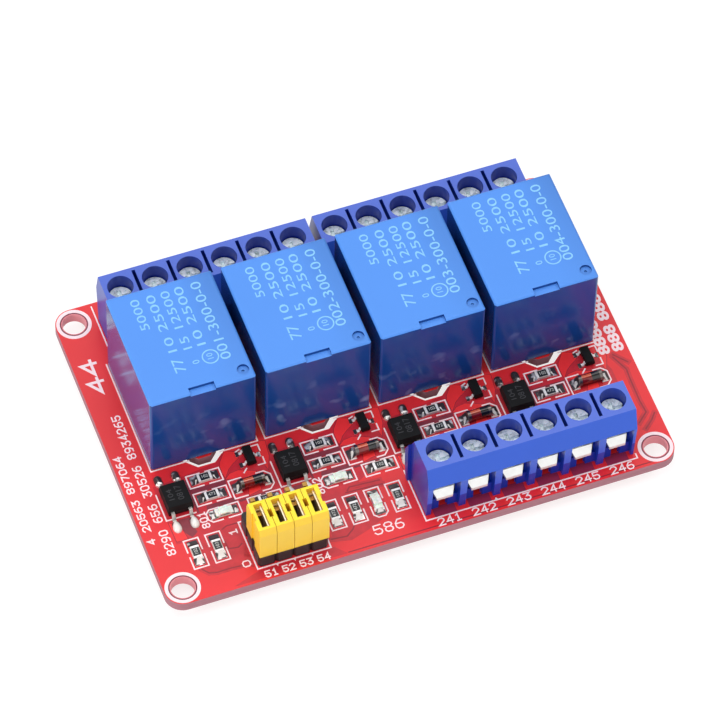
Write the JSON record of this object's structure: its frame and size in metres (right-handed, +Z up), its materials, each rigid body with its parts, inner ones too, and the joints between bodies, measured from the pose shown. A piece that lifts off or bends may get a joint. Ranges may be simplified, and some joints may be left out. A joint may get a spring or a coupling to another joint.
{
  "type": "relay module board",
  "caption": "Red circuit board with a row of blue sealed relays, blue screw terminal blocks, yellow level-select jumper caps, optocouplers and small surface-mounted parts.",
  "frame": {"origin": "middle of the board in plan, at the height of the ends of the solder tails that it stands on", "axes": "+X along the row of relays, -Y towards the input terminal and the jumpers, +Z up from the component side"},
  "size_m": [0.0748, 0.052, 0.0193],
  "materials": {
    "board_red": "glossy solder mask",
    "relay_blue": "glossy moulded plastic",
    "relay_base_blue": "satin moulded plastic",
    "terminal_blue": "satin moulded nylon",
    "screw_steel": "bright nickel plate",
    "clamp_steel": "zinc plate",
    "tinned_contact": "bright tin plate",
    "tinned_lead": "tin plate",
    "solder": "reflowed solder",
    "header_black": "satin",
    "chip_black": "matt epoxy",
    "resistor_black": "glazed film",
    "gold_pin": "gold flash",
    "cap_brass": "bright sheet",
    "cap_yellow": "satin moulded plastic",
    "diode_orange": "glass bead",
    "led_clear": "clear epoxy"
  },
  "bodies": {
    "root": {"circuit_board": "board_red", "relay_1_case": "relay_blue", "relay_1_base": "relay_base_blue", "relay_1_pins": "tinned_lead", "relay_2_case": "relay_blue", "relay_2_base": "relay_base_blue", "relay_2_pins": "tinned_lead", "relay_3_case": "relay_blue", "relay_3_base": "relay_base_blue", "relay_3_pins": "tinned_lead", "relay_4_case": "relay_blue", "relay_4_base": "relay_base_blue", "relay_4_pins": "tinned_lead", "input_terminal_housing": "terminal_blue", "input_terminal_screws": "screw_steel", "input_terminal_clamps": "clamp_steel", "input_terminal_contacts": "tinned_contact", "output_terminal_left_housing": "terminal_blue", "output_terminal_left_screws": "screw_steel", "output_terminal_left_clamps": "clamp_steel", "output_terminal_left_contacts": "tinned_contact", "output_terminal_right_housing": "terminal_blue", "output_terminal_right_screws": "screw_steel", "output_terminal_right_clamps": "clamp_steel", "output_terminal_right_contacts": "tinned_contact", "header_strip": "header_black", "header_pins": "gold_pin", "optocoupler_1": "chip_black", "optocoupler_leads_1": "tinned_lead", "transistor_1": "chip_black", "diode_glass_1": "diode_orange", "channel_led_1": "led_clear", "jumper_cap_1": "cap_yellow", "jumper_contact_1": "cap_brass", "optocoupler_2": "chip_black", "optocoupler_leads_2": "tinned_lead", "transistor_2": "chip_black", "diode_glass_2": "diode_orange", "channel_led_2": "led_clear", "jumper_cap_2": "cap_yellow", "jumper_contact_2": "cap_brass", "optocoupler_3": "chip_black", "optocoupler_leads_3": "tinned_lead", "transistor_3": "chip_black", "diode_glass_3": "diode_orange", "channel_led_3": "led_clear", "jumper_cap_3": "cap_yellow", "jumper_contact_3": "cap_brass", "optocoupler_4": "chip_black", "optocoupler_leads_4": "tinned_lead", "transistor_4": "chip_black", "diode_glass_4": "diode_orange", "channel_led_4": "led_clear", "jumper_cap_4": "cap_yellow", "jumper_contact_4": "cap_brass", "power_led": "led_clear", "resistors": "resistor_black", "resistor_caps": "tinned_lead", "transistor_leads": "tinned_lead", "surface_solder": "solder"}
  },
  "joints": []
}
